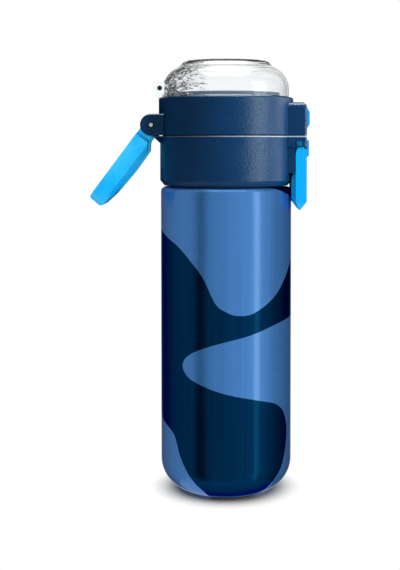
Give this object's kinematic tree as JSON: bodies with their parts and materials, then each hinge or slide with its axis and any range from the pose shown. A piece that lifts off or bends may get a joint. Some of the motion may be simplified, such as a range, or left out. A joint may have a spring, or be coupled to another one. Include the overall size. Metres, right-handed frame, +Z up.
{
  "type": "insulated drink bottle",
  "caption": "Insulated steel bottle with a screw collar, a flip lid, a clear flip-up dome over the spout, a side latch and a carry loop on the hinge.",
  "frame": {"origin": "centre of the base, on the surface the bottle stands on", "axes": "+Z up along the bottle's axis, +X towards the latch and button, -X towards the hinge and carry loop"},
  "size_m": [0.121, 0.075, 0.239],
  "materials": {
    "lacquer": "glossy metallic lacquer in two blues",
    "steel": "brushed stainless steel",
    "pin_steel": "bright ground steel",
    "navy_plastic": "fine textured polypropylene",
    "blue_plastic": "satin polypropylene",
    "white_plastic": "plain white polypropylene",
    "clear_plastic": "clear moulded copolyester",
    "dark_pin": "dark acetal",
    "silicone": "translucent white silicone"
  },
  "bodies": {
    "bottle": {"outer_shell": "lacquer", "inner_flask": "steel", "base_cup": "steel", "getter_pad": "steel", "vacuum_plug": "steel"},
    "seal": {"neck_gasket": "silicone"},
    "collar": {"lid_collar": "navy_plastic", "thread_sleeve": "white_plastic", "hinge_pin": "pin_steel", "latch_pin": "pin_steel", "latch_spring": "pin_steel"},
    "loop": {"carry_handle": "blue_plastic"},
    "latch": {"latch_lever": "blue_plastic"},
    "lid": {"flip_lid": "navy_plastic", "lid_liner": "white_plastic", "lid_gasket": "silicone", "spout": "silicone", "vent_valve": "silicone", "dome_seal": "silicone", "dome_bracket": "clear_plastic", "dome_pin": "dark_pin", "button_spring": "pin_steel"},
    "dome": {"dome_cover": "clear_plastic", "dome_ring": "silicone"},
    "button": {"release_button": "blue_plastic", "dome_catch": "navy_plastic"}
  },
  "joints": [
    {"name": "collar_lift", "type": "slide", "parent": "bottle", "child": "seal", "axis": [0, 0, 1], "range_m": [0, 0.021]},
    {"name": "collar_unscrew", "type": "hinge", "parent": "seal", "child": "collar", "pos_m": [0, 0, 0.184], "axis": [0, 0, 1], "range_deg": [0, 756]},
    {"name": "lid_flip", "type": "hinge", "parent": "collar", "child": "lid", "pos_m": [-0.0409, 0, 0.2036], "axis": [0, -1, 0], "range_deg": [0, 100]},
    {"name": "loop_swing", "type": "hinge", "parent": "collar", "child": "loop", "pos_m": [-0.0409, 0, 0.2036], "axis": [0, -1, 0], "range_deg": [-130, 0]},
    {"name": "latch_swing", "type": "hinge", "parent": "collar", "child": "latch", "pos_m": [0.0412, 0, 0.1885], "axis": [0, -1, 0], "range_deg": [0, 12], "stiffness_Nm_per_rad": 0.05, "deforming": ["latch_spring"]},
    {"name": "dome_flip", "type": "hinge", "parent": "lid", "child": "dome", "pos_m": [-0.0366, 0, 0.224], "axis": [0, -1, 0], "range_deg": [0, 110]},
    {"name": "button_press", "type": "slide", "parent": "lid", "child": "button", "axis": [-1, 0, 0], "range_m": [0, 0.0012], "stiffness_N_per_m": 400, "deforming": ["button_spring"]}
  ],
  "couplings": [
    {"joint": "collar_lift", "follows": "collar_unscrew", "m_per_rad": 0.0015915}
  ]
}
